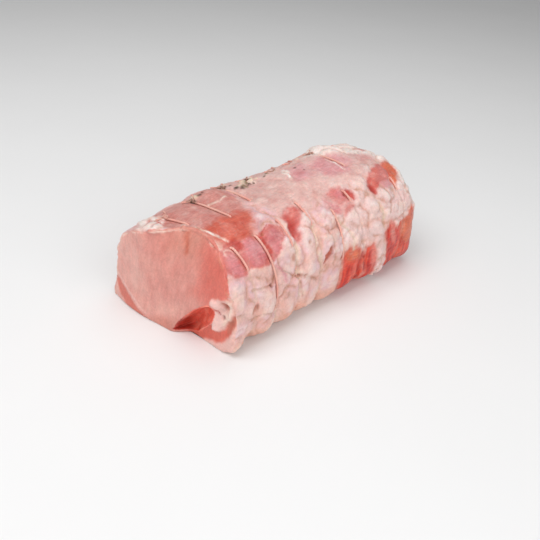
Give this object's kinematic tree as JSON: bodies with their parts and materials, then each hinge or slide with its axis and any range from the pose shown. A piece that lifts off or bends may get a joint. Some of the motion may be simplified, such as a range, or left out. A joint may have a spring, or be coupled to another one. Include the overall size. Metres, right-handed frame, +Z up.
{
  "type": "boneless pork loin roast",
  "caption": "Raw boneless pork loin roast, rolled and tied with twine, with a slanted cut face, a cleft beside the rolled flap and a flattened underside.",
  "frame": {"origin": "centre of the bounding box, on the plane that the roast rests on", "axes": "+X along the roast from the cut face to the far end, +Y to the roast's left side seen from the cut face's end looking along +X, +Z up"},
  "size_m": [0.206, 0.1096, 0.0801],
  "materials": {
    "meat": "moist raw pork: pale pink lean, cream fat and red muscle",
    "twine": "thin twisted cotton twine, wetted pale pink"
  },
  "bodies": {
    "root": {"loin": "meat", "twine_1": "twine", "twine_2": "twine", "twine_3": "twine", "twine_4": "twine", "twine_5": "twine", "twine_6": "twine", "twine_7": "twine", "twine_8": "twine"}
  },
  "joints": []
}
